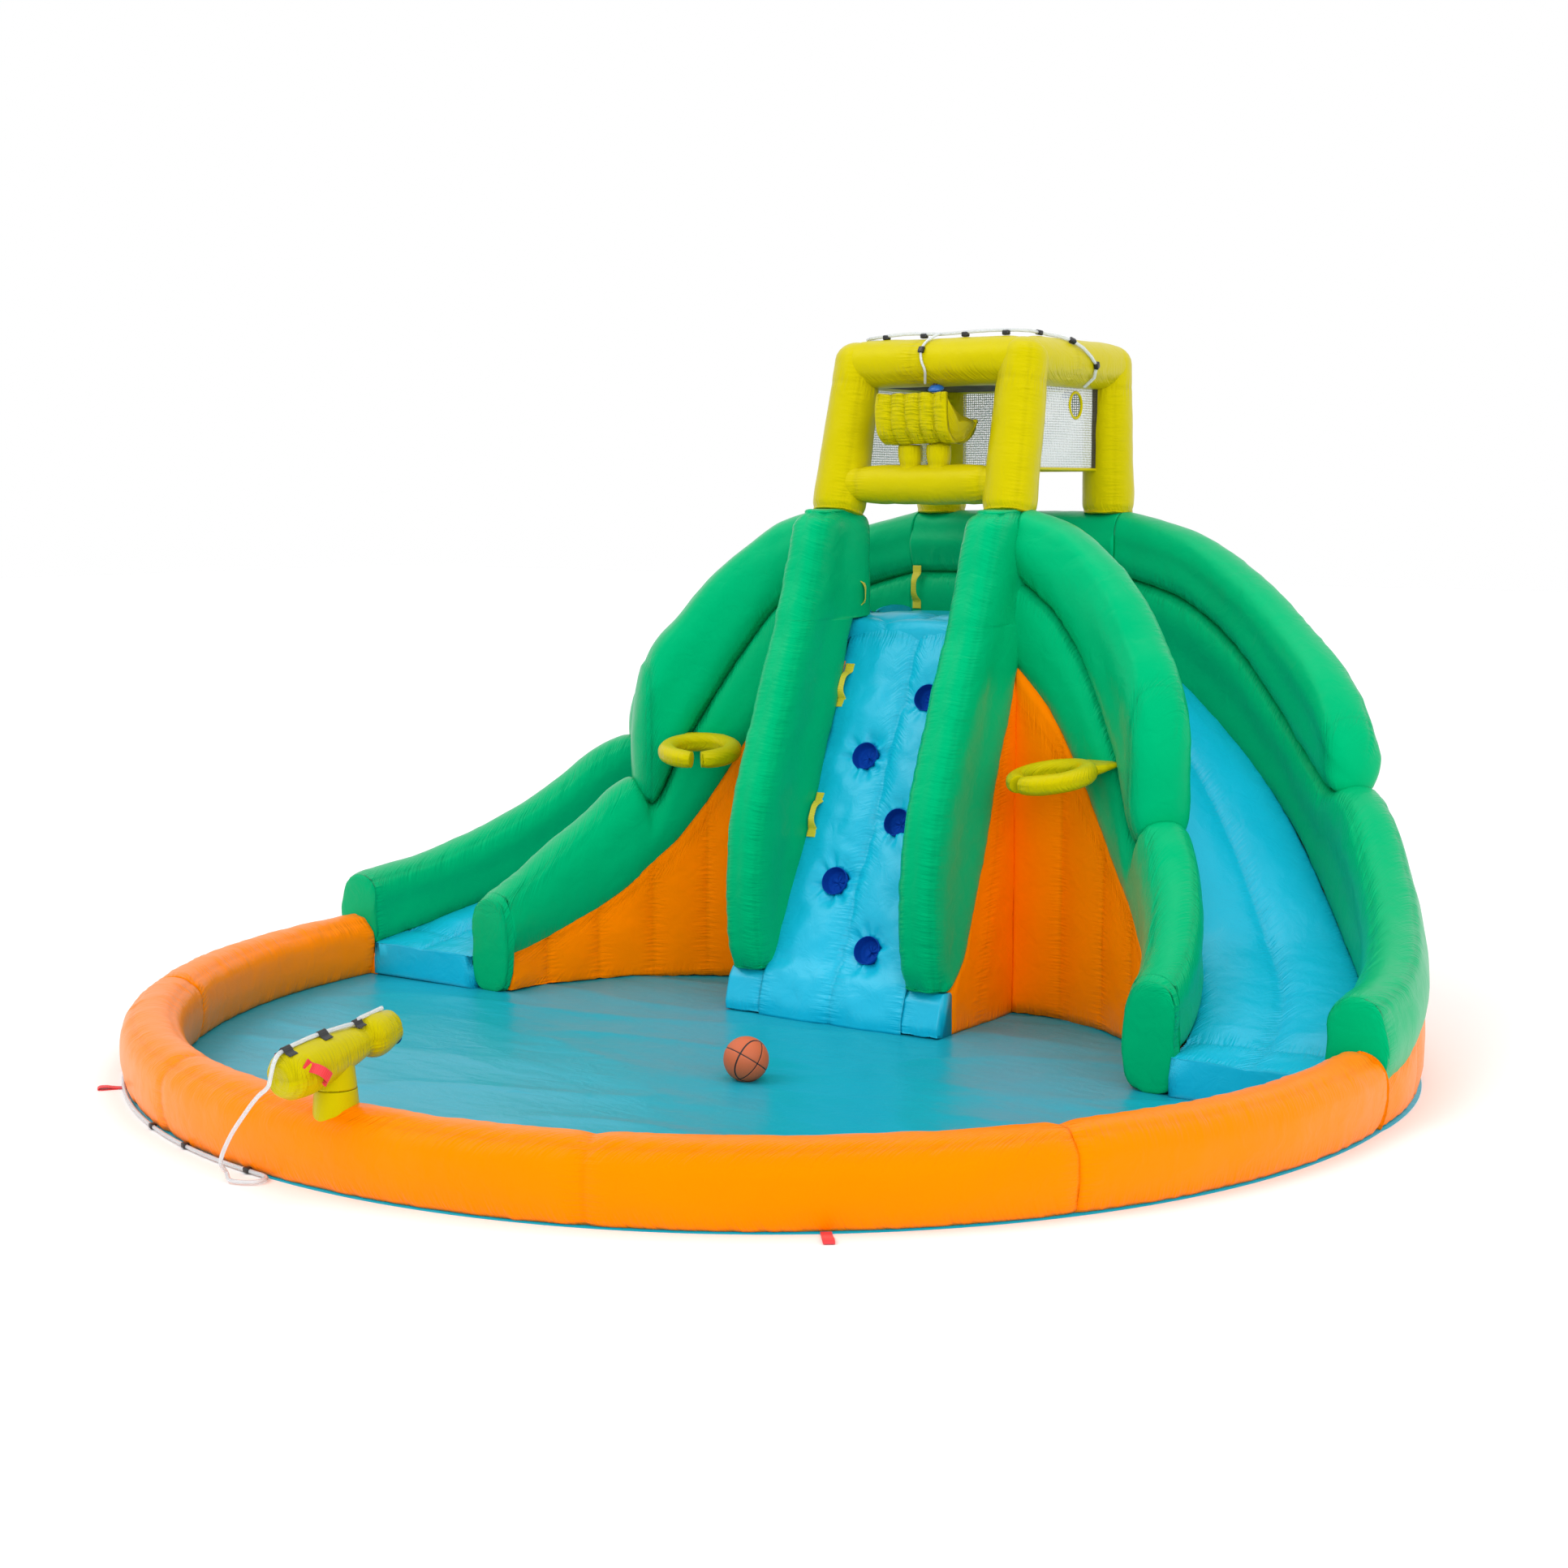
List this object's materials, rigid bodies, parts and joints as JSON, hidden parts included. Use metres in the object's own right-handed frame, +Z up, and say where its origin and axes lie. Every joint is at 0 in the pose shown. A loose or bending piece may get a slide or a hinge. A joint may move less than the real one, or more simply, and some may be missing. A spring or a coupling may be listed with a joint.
{
  "type": "inflatable water slide",
  "caption": "Inflatable garden water slide: curved lanes beside a climbing wall, a round splash pool, a shaded tower with a tipping bucket, ball hoops and a swivelling water cannon.",
  "frame": {"origin": "middle of the footprint, on the ground", "axes": "+Z up, the pool and the cannon in front at -Y, +X to the right of a person who faces the slide's tower from the pool"},
  "size_m": [4.2668, 4.2182, 2.4435],
  "materials": {
    "pool_sheet": "satin laminated vinyl sheet, teal",
    "orange_vinyl": "satin coated fabric, orange",
    "blue_vinyl": "satin coated fabric, light blue",
    "green_vinyl": "satin coated fabric, green",
    "yellow_vinyl": "satin coated fabric, yellow",
    "net_mesh": "open knitted net with yellow piping",
    "roof_mesh": "dark open shade mesh",
    "blue_plastic": "moulded plastic, dark blue",
    "red_webbing": "woven strap, red",
    "handle_webbing": "woven strap, yellow",
    "clear_hose": "clear flexible hose",
    "ball_skin": "matt moulded ball, terracotta"
  },
  "bodies": {
    "root": {"ground_sheet": "pool_sheet", "ring_left": "orange_vinyl", "ring_front": "orange_vinyl", "ring_right": "orange_vinyl", "climb_panel_left": "orange_vinyl", "climb_panel_right": "orange_vinyl", "inner_panel_left": "orange_vinyl", "inner_panel_right": "orange_vinyl", "outer_panel_left": "orange_vinyl", "outer_panel_right": "orange_vinyl", "back_panel": "orange_vinyl", "inflation_sleeve": "orange_vinyl", "climb_block": "blue_vinyl", "deck_block": "blue_vinyl", "slide_bed_left": "blue_vinyl", "slide_bed_right": "blue_vinyl", "climb_wall_left": "green_vinyl", "climb_wall_right": "green_vinyl", "inner_low_left": "green_vinyl", "inner_low_right": "green_vinyl", "inner_high_left": "green_vinyl", "inner_high_right": "green_vinyl", "outer_low_left": "green_vinyl", "outer_low_right": "green_vinyl", "outer_high_left": "green_vinyl", "outer_high_right": "green_vinyl", "back_low": "green_vinyl", "back_high": "green_vinyl", "tower_ring": "yellow_vinyl", "post_front_left": "yellow_vinyl", "post_front_right": "yellow_vinyl", "post_rear_left": "yellow_vinyl", "post_rear_right": "yellow_vinyl", "front_bar": "yellow_vinyl", "cannon_stump": "yellow_vinyl", "hoop_left": "yellow_vinyl", "hoop_right": "yellow_vinyl", "net_rear": "net_mesh", "net_left": "net_mesh", "net_right": "net_mesh", "net_roof": "roof_mesh", "sprinkler_front": "blue_plastic", "sprinkler_side": "blue_plastic", "anchor_left": "red_webbing", "anchor_right": "red_webbing", "handle_low": "handle_webbing", "handle_mid": "handle_webbing", "handle_high": "handle_webbing", "handle_side": "handle_webbing", "handle_back": "handle_webbing", "feed_hose": "clear_hose", "sprinkler_hose": "clear_hose", "free_hose": "clear_hose"},
    "bucket": {"bucket": "yellow_vinyl"},
    "cannon": {"cannon_barrel": "yellow_vinyl", "cannon_nozzle": "blue_plastic", "cannon_handle_left": "red_webbing", "cannon_handle_right": "red_webbing", "cannon_hose": "clear_hose"},
    "ball": {"ball": "ball_skin"}
  },
  "joints": [
    {"name": "bucket_tip", "type": "hinge", "parent": "root", "child": "bucket", "pos_m": [0, 1.10717, 2.0323], "axis": [1, 0, 0], "range_deg": [0, 95]},
    {"name": "cannon_swivel", "type": "hinge", "parent": "root", "child": "cannon", "pos_m": [0, -1.86075, 0.272], "axis": [0, 0, 1], "range_deg": [-35, 35], "deforming": ["free_hose"]},
    {"name": "ball_lift", "type": "slide", "parent": "root", "child": "ball", "axis": [0, 0, 1], "range_m": [0, 1.2]}
  ]
}
